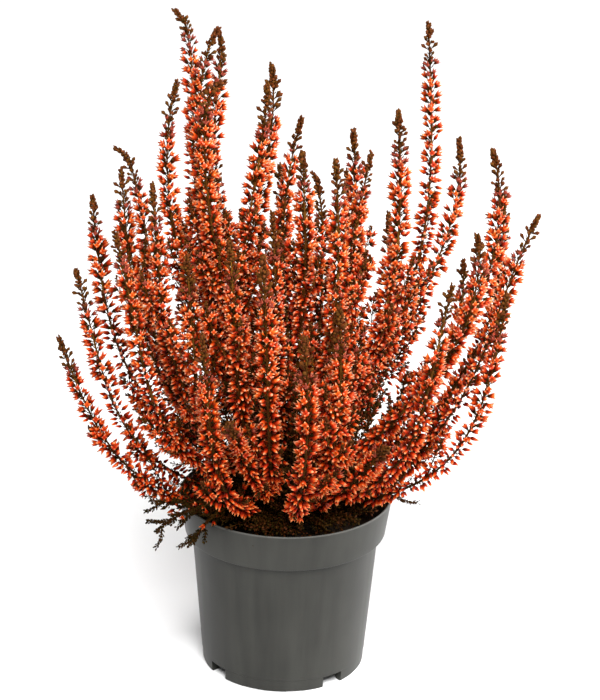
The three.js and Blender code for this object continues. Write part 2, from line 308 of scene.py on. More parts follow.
def turned(radii, heights, sides, finish, band, ends=(0.0, 1.0), keels=0.0, tip_lift=0.0):
    """A small body turned round Z. Ring i has radius radii[i] at height heights[i]. Where
    keels isn't 0 the radius swells and shrinks by that share four times round, and the last
    ring's heights rise and fall by tip_lift in step. ends are the heights of the two poles."""
    angle = TURN * np.arange(sides) / sides
    ridge = np.cos(4 * angle)
    radius = np.reshape(radii, (-1, 1)) * (1 + np.reshape(keels, (-1, 1)) * ridge)
    height = np.repeat(np.array(heights, float)[:, None], sides, axis=1)
    height[-1] += tip_lift * ridge
    points = rings_and_poles(radius, height, angle, ends)
    across = there_and_back(len(radii), sides)
    uv = np.stack([STRIP * (across - 0.5), mix(band, np.clip(points[:, 2], 0, 1))], 1)
    return tube(points, sides, uv, finish)


def bent(shape, amount):
    """The same body bowed towards +X: a point moves sideways by amount times the square of
    its height."""
    points = shape.points.copy()
    points[:, 0] += amount * points[:, 2] ** 2
    return shape._replace(points=points)


def closed_bud():
    """A long bud with a pointed end: two rings of six corners between its poles."""
    return bent(turned([1.0, 0.58], [0.32, 0.74], 6, SEPAL, SEPAL_BAND), -0.25)


def open_bud():
    """A flower whose four pointed sepals part and flare round a deep cup, like a star."""
    cup = turned([0.7, 0.8], [0.36, 0.78], 8, SEPAL, SEPAL_BAND, (0.0, 0.42), [0.08, 0.34], 0.2)
    return bent(cup, -0.15)


def calyx():
    """Four bracts round the foot of a bud, as a small cup with a pointed edge."""
    return turned([1.2], [0.24], 4, LEAF, LEAF_BAND, (-0.16, 0.04))


def scale_leaf():
    """A scale leaf: a four sided spindle, widest near its tip, flattened when placed."""
    return turned([1.0], [0.6], 4, LEAF, LEAF_BAND)


def scale_bud():
    """A thick young bud of the head, with a round end."""
    return turned([0.62, 1.0], [0.25, 0.72], 5, LEAF, LEAF_BAND)


def club():
    """A young bud on a thin stalk, with a round end."""
    return turned([0.34, 1.0], [0.38, 0.76], 5, LEAF, LEAF_BAND)


def peg():
    """A three sided stalk from height 0 to 1."""
    return turned([1.0], [0.5], 3, BARK, BARK_BAND)


# Lines


def unit(vectors):
    """Vectors shortened or lengthened to 1."""
    return vectors / np.linalg.norm(vectors, axis=-1, keepdims=True)


def ring_centres(node):
    """The middle of each ring of a carried solid, root to tip. Its root disc's centre is the
    corner nearest the crown's heart, and ring k is the corners k edges away from that."""
    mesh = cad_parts[node].data
    mesh.calc_loop_triangles()
    corners = np.empty(3 * len(mesh.loop_triangles), np.int32)
    mesh.loop_triangles.foreach_get("vertices", corners)
    points = np.empty(3 * len(mesh.vertices), np.float32)
    mesh.vertices.foreach_get("co", points)
    grain = 1e-6
    steps = np.round(points.reshape(-1, 3).astype(float) / grain).astype(np.int64)
    places, same = np.unique(steps, axis=0, return_inverse=True)
    places = places * grain
    triangles = same.ravel()[corners].reshape(-1, 3)
    pairs = np.concatenate([triangles[:, [0, 1]], triangles[:, [1, 2]], triangles[:, [2, 0]]])
    pairs = np.concatenate([pairs, pairs[:, ::-1]])
    level = np.full(len(places), -1)
    level[np.linalg.norm(places - CROWN_HEART, axis=1).argmin()] = 0
    last = 0
    while (level < 0).any():
        near = pairs[level[pairs[:, 0]] == last, 1]
        last += 1
        level[near[level[near] < 0]] = last
    return np.array([places[level == k].mean(0) for k in range(1, last + 1)])


class Line:
    """A smooth line through points, measured by its length in metres."""

    SAMPLES = 260

    def __init__(self, knots):
        """A cubic piece between each two knots, whose slope at a knot is the slope from the
        knot before to the knot after, then sampled evenly by length."""
        knots = np.asarray(knots, float)
        gaps = np.linalg.norm(np.diff(knots, axis=0), axis=1)
        marks = np.concatenate([[0], np.cumsum(gaps)])
        slopes = np.gradient(knots, marks, axis=0)
        t = np.linspace(0, marks[-1], self.SAMPLES)
        k = np.clip(np.searchsorted(marks, t, side="right") - 1, 0, len(gaps) - 1)
        w, h = ((t - marks[k]) / gaps[k])[:, None], gaps[k][:, None]
        points = (
            (1 + 2 * w) * (1 - w) ** 2 * knots[k]
            + w * (1 - w) ** 2 * h * slopes[k]
            + w**2 * (3 - 2 * w) * knots[k + 1]
            + w**2 * (w - 1) * h * slopes[k + 1]
        )
        steps = np.linalg.norm(np.diff(points, axis=0), axis=1)
        self.marks = np.concatenate([[0], np.cumsum(steps)])
        self.length = self.marks[-1]
        self.points = points
        self.tangents = unit(np.gradient(points, self.marks, axis=0))
        spread = points - points.mean(0)
        self.side = np.linalg.svd(spread, full_matrices=False)[2][2]

    def at(self, s):
        """Points, directions and two square cross directions at lengths s along the line.
        The first cross direction is square to the plane that the line mostly lies in."""
        s = np.asarray(s, float)
        point = np.stack([np.interp(s, self.marks, c) for c in self.points.T], -1)
        along = unit(np.stack([np.interp(s, self.marks, c) for c in self.tangents.T], -1))
        first = unit(self.side - (along @ self.side)[..., None] * along)
        return point, along, first, np.cross(along, first)


def bow(start, bend, end, count=9):
    """Points on the curve that leaves start towards bend and reaches end from it: start,
    bend and end weighted by the squares and product of the shares gone and to go."""
    t = np.linspace(0, 1, count)[:, None]
    return (1 - t) ** 2 * start + 2 * t * (1 - t) * bend + t**2 * end


def axes_for(directions, towards, widths, depths, lengths):
    """For each small body a frame whose third column is its direction times its length, and
    whose first is the part of towards that is square to it, times its width."""
    lengthways = unit(directions)
    share = (towards * lengthways).sum(-1, keepdims=True)
    sideways = unit(towards - share * lengthways)
    crossways = np.cross(lengthways, sideways)
    columns = (sideways, widths), (crossways, depths), (lengthways, lengths)
    return np.stack([axis * np.reshape(size, (-1, 1)) for axis, size in columns], -1)


def leaning(first, second, angle):
    """Directions at an angle in radians from the first of two square ones to the second."""
    return np.cos(angle)[:, None] * first + np.sin(angle)[:, None] * second


def mix(pair, share):
    """From the first of a pair at share 0 to the second at share 1."""
    return pair[0] + (pair[1] - pair[0]) * share


# Parts of a shoot


def bark(points, along, sides):
    """Bark on rings of points and their two end points. along runs from 0 to 1, one number
    a ring."""
    run = np.append(np.repeat(along, sides), along[[0, -1]])
    across = there_and_back(len(along), sides)
    uv = np.stack([mix(BARK_RUN, run), mix(BARK_BAND, across)], 1)
    return tube(points, sides, uv, BARK)


def stem(line, radii, gap=0.006, sides=6):
    """The bark of a shoot: rings that stand square to the line, a gap apart, whose radius
    falls evenly from root to tip."""
    count = max(4, int(line.length / gap))
    stations = np.linspace(0, line.length, count)
    radius = np.linspace(*radii, count)
    radius[-1] *= BLUNTED
    point, _, first, second = line.at(stations)
    angle = TURN * np.arange(sides) / sides
    spoke = leaning(first[:, None], second[:, None], angle)
    rings = point[:, None] + radius[:, None, None] * spoke
    points = np.concatenate([rings.reshape(-1, 3), point[[0, -1]]])
    return bark(points, stations / line.length, sides)


def crossed_pairs(rng, nodes, slip, sway, twist=TURN / 4, any_start=True):
    """Lengths along a stem and angles round it for two growths at each node, opposite each
    other and a twist on from the pair below. Each slips and sways at random."""
    s = np.repeat(nodes, 2) + rng.normal(0, slip, 2 * len(nodes))
    start = rng.uniform(0, TURN) if any_start else 0.0
    pair = np.repeat(np.arange(len(nodes)), 2)
    turn = start + pair * twist + np.tile([0, TURN / 2], len(nodes))
    return s, turn + rng.normal(0, sway, len(s))


def buds(line, rng, foot, head, size=1.0, gap=NODE_GAP):
    """Pairs of buds from length foot to length head, each pair a quarter turn on from the
    last. They shrink and lean more upwards towards the head. Each stands on a stalk, and a
    parted flower has a calyx."""
    count = int((head - foot) / gap)
    nodes = foot + (head - foot) * ((np.arange(count) + 0.5) / count) ** CROWDING
    nodes = nodes + rng.normal(0, PAIR_SLIP * gap, count)
    s, turn = crossed_pairs(rng, nodes, BUD_SLIP, BUD_SWAY)
    kept = (rng.random(len(s)) > FALLEN) & (s > foot) & (s < head)
    s, turn = s[kept], turn[kept]
    share = (s - foot) / (head - foot)
    point, along, first, second = line.at(s)
    spoke = leaning(first, second, turn)
    lean = np.interp(share, LEAN_SHARES, LEANS) + rng.normal(0, LEAN_SPREAD, len(s))
    outward = leaning(along, spoke, np.radians(lean))
    outward = unit(outward - UP * DROOP * (1 - share)[:, None])
    opened = rng.uniform(*PARTING, len(s)) < share
    grown = size * np.interp(share, SIZE_SHARES, SIZES) * rng.uniform(0.82, 1.14, len(s))
    length = np.where(opened, FLOWER_LENGTH, BUD_LENGTH) * grown
    width = np.where(opened, FLOWER_HALF_WIDTH, BUD_HALF_WIDTH) * grown
    stalk = size * mix(PEDICEL_LENGTH, share) * rng.uniform(0.6, 1.3, len(s))
    start = point + spoke * SKIN
    base = start + unit(outward + PEDICEL_RISE * along) * stalk[:, None]
    down = np.broadcast_to(-UP, outward.shape)
    cup = CALYX_SHARE * width
    bud_axes = axes_for(outward, down, width, width, length)
    calyx_axes = axes_for(outward, down, cup, cup, length)[opened]
    stalk_axes = axes_for(base - start, first, PEDICEL_RADIUS, PEDICEL_RADIUS, stalk)
    brown, bright = rng.uniform(*YOUNG_STRIPS, len(s)), rng.uniform(*FULL_STRIPS, len(s))
    strip = np.where(share > YOUNG, brown, bright)
    return joined([
        scattered(closed_bud(), bud_axes[~opened], base[~opened], strip[~opened]),
        scattered(open_bud(), bud_axes[opened], base[opened], strip[opened]),
        scattered(calyx(), calyx_axes, base[opened], rng.uniform(0.1, 0.7, opened.sum())),
        scattered(peg(), stalk_axes, start, rng.uniform(0.1, 0.9, len(s))),
    ])


def clubs(line, rng, foot, head, size):
    """Crossed pairs of club shaped young buds, which stand off the stem between length foot
    and length head."""
    s, turn = crossed_pairs(rng, np.arange(foot, head, CLUB_GAP), CLUB_SLIP, 0.25, CLUB_TWIST)
    point, along, first, second = line.at(s)
    spoke = leaning(first, second, turn)
    outward = leaning(along, spoke, np.radians(rng.normal(CLUB_LEAN, 8, len(s))))
    grown = size * rng.uniform(0.75, 1.1, len(s))
    wide = CLUB_HALF_WIDTH * grown
    axes = axes_for(outward, spoke, wide, wide, CLUB_LENGTH * grown)
    return scattered(club(), axes, point, rng.uniform(0.5, 0.95, len(s)))


def head_of_scales(line, rng, length, size):
    """The knobbly head: round scale buds in crossed pairs that stand off the stem low in the
    head, and lie closer, smaller and more upright towards its blunt tip."""
    count = int(length / HEAD_GAP * size)
    share = (np.arange(count) + 0.5) / count
    point, along, first, second = line.at(line.length - length * (1 - share) - HEAD_DROP)
    pair = np.arange(count) // 2
    turn = pair * TURN / 4 + np.arange(count) * TURN / 2 + pair * 0.12
    spoke = leaning(first, second, turn + rng.normal(0, 0.25, count))
    radius = size * np.interp(share, HEAD_SHARES, HEAD_RADII) * rng.uniform(0.75, 1.15, count)
    lean = np.radians(mix(HEAD_LEANS, share) + rng.normal(0, 7, count))
    outward = leaning(along, spoke, lean)
    long = radius / np.sin(lean) * HEAD_BUD_FILL
    long = np.clip(long, *(size * np.array(HEAD_BUD_LENGTHS)))
    wide = HEAD_BUD_HALF_WIDTH * size * mix((1.0, 0.7), share) * rng.uniform(0.8, 1.15, count)
    axes = axes_for(outward, spoke, wide, wide, long)
    places = point + spoke * (SKIN * size)
    return scattered(scale_bud(), axes, places, rng.uniform(0.5, 1.0, count))


def scale_leaves(line, rng, foot, head, leaves):
    """Scale leaves that hug a stem in crossed pairs, from length foot to length head."""
    nodes = np.arange(foot, head, leaves.gap)
    s, turn = crossed_pairs(rng, nodes, LEAF_SLIP * leaves.gap, 0.25, any_start=False)
    point, along, first, second = line.at(s)
    spoke = leaning(first, second, turn)
    outward = leaning(along, spoke, np.radians(rng.normal(leaves.lean, 9, len(s))))
    grown = rng.uniform(0.75, 1.2, len(s))
    thick, wide = LEAF_THICKNESS * leaves.half_width * grown, leaves.half_width * grown
    axes = axes_for(outward, spoke, thick, wide, leaves.length * grown)
    strips = rng.uniform(*leaves.strips, len(s))
    return scattered(scale_leaf(), axes, point + spoke * SKIN, strips)


def starts(line, rng, growths, longest):
    """For each of a stem's growths, at random along and round it: its place, the stem's
    direction there, a direction square to the stem, and its own reach."""
    highest = min(growths.head * line.length, HIGHEST_GROWTH)
    for s in rng.uniform(growths.foot * line.length, highest, growths.count):
        point, along, first, second = (x[0] for x in line.at([s]))
        angle = rng.uniform(0, TURN)
        out = math.cos(angle) * first + math.sin(angle) * second
        yield point, along, out, growths.reach * rng.uniform(0.6, longest)


def side_shoots(line, rng, growths, leaves):
    """Short leafy side shoots. Each leaves the stem at about 50 degrees and bows upwards."""
    made = []
    for point, along, out, long in starts(line, rng, growths, 1.25):
        bend = point + long * 0.55 * unit(0.55 * along + out)
        end = bend + long * 0.5 * unit(along + 0.45 * out + 0.3 * UP)
        twig = Line(bow(point, bend, end))
        made.append(stem(twig, SIDE_SHOOT_STEM, 0.004, 3))
        made.append(scale_leaves(twig, rng, 0.001, twig.length, leaves))
    return made


def sprig(start, bend, end, rng):
    """A flowering side shoot on a bow from start to end: small buds and a short head."""
    twig = Line(bow(start, bend, end))
    top = twig.length - SPRIG_NECK
    return [
        stem(twig, SPRIG_STEM, sides=3),
        buds(twig, rng, SPRIG_FOOT, top, SPRIG_BUD_SIZE, SPRIG_BUD_GAP),
        head_of_scales(twig, rng, SPRIG_HEAD, SPRIG_HEAD_SIZE),
    ]


def sprigs(line, rng, growths):
    """Sprigs at random round the stem. Each leaves it slanting and bows upwards."""
    made = []
    for point, along, out, long in starts(line, rng, growths, 1.3):
        bend = point + long * 0.5 * unit(along + 0.75 * out)
        end = bend + long * 0.55 * unit(along + 0.15 * out + 0.85 * UP)
        made += sprig(point, bend, end, rng)
    return made


def closing_sprigs(line, rng, number):
    """The sprigs that reach set places. Each leaves the stem between the stem's direction and
    the straight way to its tip."""
    made = []
    for share, tip in CLOSING_SPRIGS.get(number, []):
        point, along, _, _ = (x[0] for x in line.at([share * line.length]))
        end = np.array(tip) / MILLIMETRES
        way = end - point
        bend = point + 0.5 * np.linalg.norm(way) * unit(along + 1.4 * unit(way))
        made += sprig(point, bend, end, rng)
    return made


# Meshes and pieces


def new_mesh(name, shape, finishes):
    """Puts a shape into a mesh, with its map and its materials."""
    real = shape.faces >= 0
    corners = shape.faces[real].astype(np.int32)
    sizes = real.sum(1)
    firsts = np.concatenate([[0], np.cumsum(sizes)[:-1]]).astype(np.int32)
    mesh = bpy.data.meshes.new(name)
    mesh.vertices.add(len(shape.points))
    mesh.vertices.foreach_set("co", shape.points.astype(np.float32).ravel())
    mesh.loops.add(len(corners))
    mesh.loops.foreach_set("vertex_index", corners)
    mesh.polygons.add(len(sizes))
    mesh.polygons.foreach_set("loop_start", firsts)
    mesh.polygons.foreach_set("material_index", shape.finish.astype(np.int32))
    layer = mesh.uv_layers.new(name="OFBake")
    layer.data.foreach_set("uv", shape.uv[corners].astype(np.float32).ravel())
    for finish in finishes:
        mesh.materials.append(finish)
    mesh.update(calc_edges=True)
    mesh.shade_smooth()
    return mesh


def linked(name, data):
    """A new object in the scene."""
    holder = bpy.data.objects.new(name, data)
    bpy.context.scene.collection.objects.link(holder)
    return holder


def placed(name, mesh, slot, *nodes):
    """A piece at the origin that rides on the one body and stands for the nodes."""
    piece = linked(name, mesh)
    if nodes:
        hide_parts(*nodes)
    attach(piece, "root")


def new_piece(name, parts, finishes, slot, *nodes):
    """A piece that is made of several shapes."""
    placed(name, new_mesh(name, joined(parts), finishes), slot, *nodes)


def flower_spike(node, finishes):
    """A flower spike: bark, buds along all but its foot, scale leaves, side shoots, sprigs,
    and at the top stalked young buds and a knobbly head."""
    number = int(node[-2:])
    rng = np.random.default_rng(1000 + number)
    line = Line(ring_centres(node))
    size = rng.uniform(*SPIKE_SIZES)
    head = line.length - rng.uniform(*HEAD_LENGTH)
    top = head - rng.uniform(*CLUB_ZONE)
    inner = np.linalg.norm(line.points[-1][:2]) < INNER_REACH
    foot = INNER_FIRST_BUDS if inner else OUTER_FIRST_BUDS
    parts = [
        stem(line, SPIKE_STEM),
        buds(line, rng, foot * line.length, top, size),
        clubs(line, rng, top, head, size),
        head_of_scales(line, rng, line.length - head, size),
        scale_leaves(line, rng, 0.004, top, STEM_LEAVES),
        scale_leaves(line, rng, top, head, NECK_LEAVES),
    ]
    parts += side_shoots(line, rng, SPIKE_SIDE_SHOOTS, SIDE_SHOOT_LEAVES)
    parts += sprigs(line, rng, LOW_SPRIGS)
    if inner:
        parts += sprigs(line, rng, INNER_SPRIGS)
    parts += closing_sprigs(line, rng, number)
    new_piece("spike_" + node[-2:], parts, finishes, "flower", node)


def leafy_shoot(node, finishes):
    """A flowerless shoot: bark under thick green scale leaves, with many short side shoots
    and a few late buds."""
    rng = np.random.default_rng(2000 + int(node[-1]))
    line = Line(ring_centres(node))
    first, last = (share * line.length for share in LATE_BUDS)
    parts = [
        stem(line, LEAFY_STEM),
        scale_leaves(line, rng, 0.002, line.length, LEAFY_STEM_LEAVES),
        buds(line, rng, first, last, LATE_BUD_SIZE, LATE_BUD_GAP),
    ]
    parts += side_shoots(line, rng, LEAFY_SIDE_SHOOTS, LEAFY_SIDE_LEAVES)
    new_piece("leafy_" + node[-1], parts, finishes, "leaf", node)


def crown_branch(root, away):
    """The twig of the crown that carries one shoot: a bow from the stock to its root."""
    start = CROWN_HEART - 0.004 * UP
    line = Line(bow(start, root - 0.5 * CROWN_REACH * away, root))
    return stem(line, BRANCH_STEM, 0.003, 7)


def bare_twig(tip):
    """A dry twig that ends free, with the bend that its solid has."""
    bend = CROWN_HEART + 0.6 * (tip - CROWN_HEART) + 0.005 * UP
    return stem(Line(bow(CROWN_HEART, bend, tip)), BARE_TWIG_STEM, 0.003)


def root_stock():
    """The lump that the crown grows from: a turned body with uneven flutes."""
    sides = 28
    share = np.linspace(0, 1, 14)
    up = share[:, None]
    angle = TURN * np.arange(sides) / sides
    flute = 1 + 0.07 * np.cos(6 * angle + 4 * up) + 0.04 * np.cos(11 * angle - 9 * up)
    swell = np.interp(up, [0, 0.3, 0.88, 1], [0.55, 1.0, 0.95, 0.5])
    radius = np.minimum(STOCK_RADIUS * swell * flute, STOCK_RADIUS + 0.0002)
    height = STOCK_BOTTOM + up * (STOCK_TOP - STOCK_BOTTOM)
    ends = (STOCK_BOTTOM, STOCK_TOP + 0.0005)
    return bark(rings_and_poles(radius, height, angle, ends), share, sides)


def woody_crown(finishes):
    """The stock, a branch to each shoot's root and the bare twigs."""
    parts = [root_stock()]
    for node in SPIKES + LEAFY_SHOOTS:
        point, along, _, _ = Line(ring_centres(node)).at([0.0])
        parts.append(crown_branch(point[0], along[0]))
    parts += [bare_twig(tip) for tip in BARE_TWIG_TIPS]
    new_piece("crown_wood", parts, finishes, "wood", "woody_crown")


def dry_twig(rng, angle, reach, top, leaves=DRY_LEAVES):
    """A leafy twig that leaves the crown at an angle, and ends at a reach from the plant's
    axis and a height."""
    out = np.array([math.cos(angle), math.sin(angle), 0.0])
    around = np.cross(UP, out)
    start = CROWN_HEART + out * rng.uniform(0.004, 0.024) + UP * rng.uniform(-0.002, 0.004)
    end = out * reach + around * rng.normal(0, 0.009) + UP * top
    bend = 0.5 * (start + end) + out * 0.004 + UP * rng.uniform(0.000, 0.008)
    line = Line(bow(start, bend, end))
    return [
        stem(line, DRY_STEM, sides=3),
        scale_leaves(line, rng, 0.008, line.length, leaves),
    ]


def dry_foliage(finishes):
    """The fine brown undergrowth at golden angles round the crown: short twigs, of which half
    lie out towards the rim, and tall ones with loose leaves between the spikes. More twigs
    reach the lip in front, and rise over it on the left."""
    rng = np.random.default_rng(3000)
    parts = []
    for k in range(SHORT_TWIGS):
        reaches, tops = LYING if k % 2 else STANDING
        parts += dry_twig(rng, k * GOLDEN_ANGLE, rng.uniform(*reaches), rng.uniform(*tops))
    for k in range(TALL_TWIGS):
        reach = TALL_REACH * math.sqrt((k + 0.5) / TALL_TWIGS)
        top = rng.uniform(*TALL_TOPS)
        parts += dry_twig(rng, k * GOLDEN_ANGLE, reach, top, LOOSE_DRY_LEAVES)
    for _ in range(FRONT_TWIGS):
        angle = math.radians(rng.uniform(*FRONT_BEARINGS))
        reach = rng.uniform(LIP_REACHES[0], LIP_REACHES[-1])
        top = np.interp(reach, LIP_REACHES, LIP_HEIGHTS)
        parts += dry_twig(rng, angle, reach, top + rng.uniform(0.0, 0.005))
    for _ in range(LEFT_TWIGS):
        angle = math.radians(rng.uniform(*LEFT_BEARINGS))
        reaches, tops = LEFT_ENDS
        parts += dry_twig(rng, angle, rng.uniform(*reaches), rng.uniform(*tops))
    new_piece("dry_foliage", parts, finishes, "leaf")


# Pot and compost


def lathe(profile, sides):
    """A body turned round Z from (radius, height) points that run from the bottom of the
    axis, outside, to its top: every point but the two on the axis makes a ring."""
    angle = TURN * np.arange(sides) / sides
    radius, height = np.array(profile[1:-1], float).T[:, :, None]
    points = rings_and_poles(radius, height, angle, (profile[0][1], profile[-1][1]))
    return tube(points, sides, points[:, :2].copy(), 0)


def arc(centre, radius, start, end, count=5):
    """Points (radius, height) on a rounding: a circle about its centre, between two angles
    in degrees."""
    angle = np.radians(np.linspace(start, end, count))
    return [(centre[0] + radius * math.cos(a), centre[1] + radius * math.sin(a)) for a in angle]


def pot_profile():
    """The pot's section, from the underside of the floor, down inside the foot ring, up the
    outside and down the inside."""
    foot = BODY_FOOT_RADIUS - FOOT_ROUNDING
    under_collar = POT_HEIGHT - COLLAR_HEIGHT
    collar = COLLAR_FOOT_RADIUS - COLLAR_ROUNDING
    step = 0.0003
    corner = 0.0004
    slope = 0.001
    shelf = under_collar + WALL
    return [
        (0, FLOOR_UNDERSIDE),
        (foot - FOOT_RING_WIDTH + slope, FLOOR_UNDERSIDE),
        (foot - FOOT_RING_WIDTH, 0.0),
        *arc((foot, FOOT_ROUNDING), FOOT_ROUNDING, -90, 0),
        (wall_radius(MOULD_LINE) - step, MOULD_LINE),
        (wall_radius(MOULD_LINE), MOULD_LINE + step),
        (BODY_TOP_RADIUS, under_collar - step),
        (BODY_TOP_RADIUS + step, under_collar),
        *arc((collar, under_collar + COLLAR_ROUNDING), COLLAR_ROUNDING, -90, 0),
        *arc((RIM_RADIUS - WALL / 2, POT_HEIGHT - WALL / 2), WALL / 2, 0, 180, 9),
        (COLLAR_FOOT_RADIUS - WALL, shelf + corner),
        (COLLAR_FOOT_RADIUS - WALL - corner, shelf),
        (BODY_TOP_RADIUS - WALL, shelf),
        (wall_radius(FLOOR_TOP + slope) - WALL, FLOOR_TOP + slope),
        (wall_radius(FLOOR_TOP) - WALL - slope, FLOOR_TOP),
        (0, FLOOR_TOP),
    ]


def wall_radius(height):
    """The radius of the pot's wall below its collar, which widens evenly with height."""
    share = height / (POT_HEIGHT - COLLAR_HEIGHT)
    return BODY_FOOT_RADIUS + share * (BODY_TOP_RADIUS - BODY_FOOT_RADIUS)


def foot_cutter(bearing, width, top):
    """A block across the foot ring, up to a height, at a bearing from the front."""
    spare = 0.002
    half = np.array([width / 2, FOOT_RING_WIDTH + spare, (top + spare) / 2])
    square = ((-1, -1), (1, -1), (1, 1), (-1, 1))
    signs = np.array([[x, y, z] for z in (-1, 1) for x, y in square])
    corners = signs * half + [0, -BODY_FOOT_RADIUS, top - half[2]]
    cos, sin = math.cos(bearing), math.sin(bearing)
    corners = corners @ np.array([[cos, sin, 0], [-sin, cos, 0], [0, 0, 1]])
    sides = [[i, (i + 1) % 4, (i + 1) % 4 + 4, i + 4] for i in range(4)]
    faces = np.array([[3, 2, 1, 0], [4, 5, 6, 7]] + sides)
    return Shape(corners, faces, corners[:, :2].copy(), np.zeros(len(faces), int))


def pot_cutters():
    """Four drain notches, two shallow reliefs under each foot and the drain holes."""
    cutters = []
    for k in range(4):
        notch = NOTCH_BEARING + k * TURN / 4
        foot = notch + TURN / 8
        cutters.append(foot_cutter(notch, NOTCH_WIDTH, NOTCH_TOP))
        cutters.append(foot_cutter(foot - RELIEF_OFFSET, RELIEF_WIDTH, RELIEF_DEPTH))
        cutters.append(foot_cutter(foot + RELIEF_OFFSET, RELIEF_WIDTH, RELIEF_DEPTH))
    low, high = 0.005, 0.012
    radius = DRAIN_HOLE_RADIUS
    drill = lathe([(0, low), (radius, low), (radius, high), (0, high)], 32)
    for k in range(8):
        bearing = NOTCH_BEARING + k * TURN / 8
        shift = DRAIN_HOLE_CIRCLE * np.array([math.sin(bearing), -math.cos(bearing), 0])
        cutters.append(drill._replace(points=drill.points + shift))
    return joined(cutters)


def pot(finish):
    """The pot: a turned shell with its cuts taken out."""
    shell = lathe(pot_profile(), POT_SIDES)
    body = linked("pot_shell", new_mesh("pot_shell", shell, [finish]))
    tool = linked("pot_cuts", new_mesh("pot_cuts", pot_cutters(), [finish]))
    cut = body.modifiers.new("cuts", "BOOLEAN")
    cut.operation = "DIFFERENCE"
    cut.solver = "EXACT"
    cut.object = tool
    evaluated = body.evaluated_get(bpy.context.evaluated_depsgraph_get())
    mesh = bpy.data.meshes.new_from_object(evaluated)
    for part in (body, tool):
        bpy.data.objects.remove(part)
    while mesh.uv_layers:
        mesh.uv_layers.remove(mesh.uv_layers[0])
    mesh.shade_smooth()
    mesh.set_sharp_from_angle(angle=math.radians(28))
    mesh.name = "nursery_pot"
    placed("nursery_pot", mesh, "pot", "pot")


def rough(points, seed, size, waves=24):
    """A rough height for each point, from -1 to 1: the mean of many sine waves that run in
    random directions over the ground, with lengths round a size in metres."""
    rng = np.random.default_rng(seed)
    angle = rng.uniform(0, TURN, waves)
    pace = TURN / (size * rng.uniform(0.5, 2.0, waves))
    phase = rng.uniform(0, TURN, waves)
    run = points[:, :1] * np.cos(angle) + points[:, 1:2] * np.sin(angle)
    return np.sin(run * pace + phase).mean(1) * math.sqrt(waves) / 2


def compost_top(points):
    """The height of the compost's rough surface: it falls from the crown to the edge, where
    its lumps are lower."""
    reach = np.linalg.norm(points[:, :2], axis=1) / COMPOST_RADIUS
    fall = COMPOST_MIDDLE + (COMPOST_EDGE - COMPOST_MIDDLE) * reach**2
    lumps = 0.0011 * rough(points, 1, 0.009) + 0.0006 * rough(points, 2, 0.003)
    sunk = 0.0009
    return fall + lumps * np.clip(4 * (1.02 - reach), 0.15, 1) - sunk


def compost(finish):
    """The compost: it fills the pot, with a rough top and loose crumbs."""
    inset = WALL + SEAT_GAP
    shelf = POT_HEIGHT - COLLAR_HEIGHT + inset
    floor = FLOOR_TOP + SEAT_GAP
    reaches = COMPOST_RADIUS * np.linspace(1, 0.03, COMPOST_RINGS)
    profile = [
        (0, floor),
        (wall_radius(floor) - inset - 0.001, floor),
        (BODY_TOP_RADIUS - inset, shelf),
        (COLLAR_FOOT_RADIUS - inset, shelf),
        *[(reach, COMPOST_EDGE) for reach in reaches],
        (0, COMPOST_MIDDLE),
    ]
    shape = lathe(profile, COMPOST_SIDES)
    top = shape.points[:, 2] >= COMPOST_EDGE - 1e-6
    shape.points[top, 2] = compost_top(shape.points[top])
    mesh = new_mesh("compost_bed", joined([shape, crumbs()]), [finish])
    mesh.uv_layers.remove(mesh.uv_layers[0])
    placed("compost_bed", mesh, "compost", "compost")


def crumbs():
    """Loose crumbs on the compost: small lumps, each turned and stretched at random and
    half sunk."""
    rng = np.random.default_rng(4000)
    lump = turned([1.0], [0.5], 5, 0, LEAF_BAND)
    lump = lump._replace(points=lump.points - [0, 0, 0.5])
    reach = COMPOST_RADIUS * 0.97 * np.sqrt(rng.random(CRUMBS))
    angle = rng.uniform(0, TURN, CRUMBS)
    ground = np.stack([reach * np.cos(angle), reach * np.sin(angle), np.zeros(CRUMBS)], 1)
    ground[:, 2] = compost_top(ground)
    size = rng.uniform(0.0005, 0.0016, CRUMBS)
    way = unit(rng.normal(size=(CRUMBS, 3)) + [0, 0, 0.01])
    across = unit(rng.normal(size=(CRUMBS, 3)))
    axes = axes_for(way, across, size * rng.uniform(0.5, 1, CRUMBS), size, size * 1.8)
    return scattered(lump, axes, ground, np.zeros(CRUMBS))


# Materials


def shader(name, roughness=0.5, shine=0.5):
    """A new material, its node tree and its surface shader."""
    material = bpy.data.materials.new(name)
    material.use_nodes = True
    tree = material.node_tree
    surface = next(n for n in tree.nodes if n.type == "BSDF_PRINCIPLED")
    surface.inputs["Roughness"].default_value = roughness
    surface.inputs["Specular IOR Level"].default_value = shine
    return material, tree, surface


def plug(tree, socket, value):
    """Sets a socket to a value, or links a node's output to it."""
    if isinstance(value, bpy.types.NodeSocket):
        tree.links.new(value, socket)
    else:
        socket.default_value = value


def add(tree, kind, inputs, **settings):
    """A new node of a kind, with its settings and its inputs by name."""
    node = tree.nodes.new("ShaderNode" + kind)
    for key, value in settings.items():
        setattr(node, key, value)
    for name, value in inputs.items():
        plug(tree, node.inputs[name], value)
    return node


def ramp(tree, factor, stops):
    """A colour for each share: stops is a list of (share, colour), eased between."""
    node = add(tree, "ValToRGB", {"Fac": factor})
    node.color_ramp.interpolation = "EASE"
    while len(node.color_ramp.elements) < len(stops):
        node.color_ramp.elements.new(0.5)
    for element, (share, colour) in zip(node.color_ramp.elements, stops):
        element.position = share
        element.color = (*colour, 1.0)
    return node.outputs["Color"]


def ranged(tree, value, low, high, to_low=0.0, to_high=1.0):
    """The value moved from one range to another and kept inside it."""
    span = {"From Min": low, "From Max": high, "To Min": to_low, "To Max": to_high}
    return add(tree, "MapRange", {"Value": value, **span}).outputs["Result"]


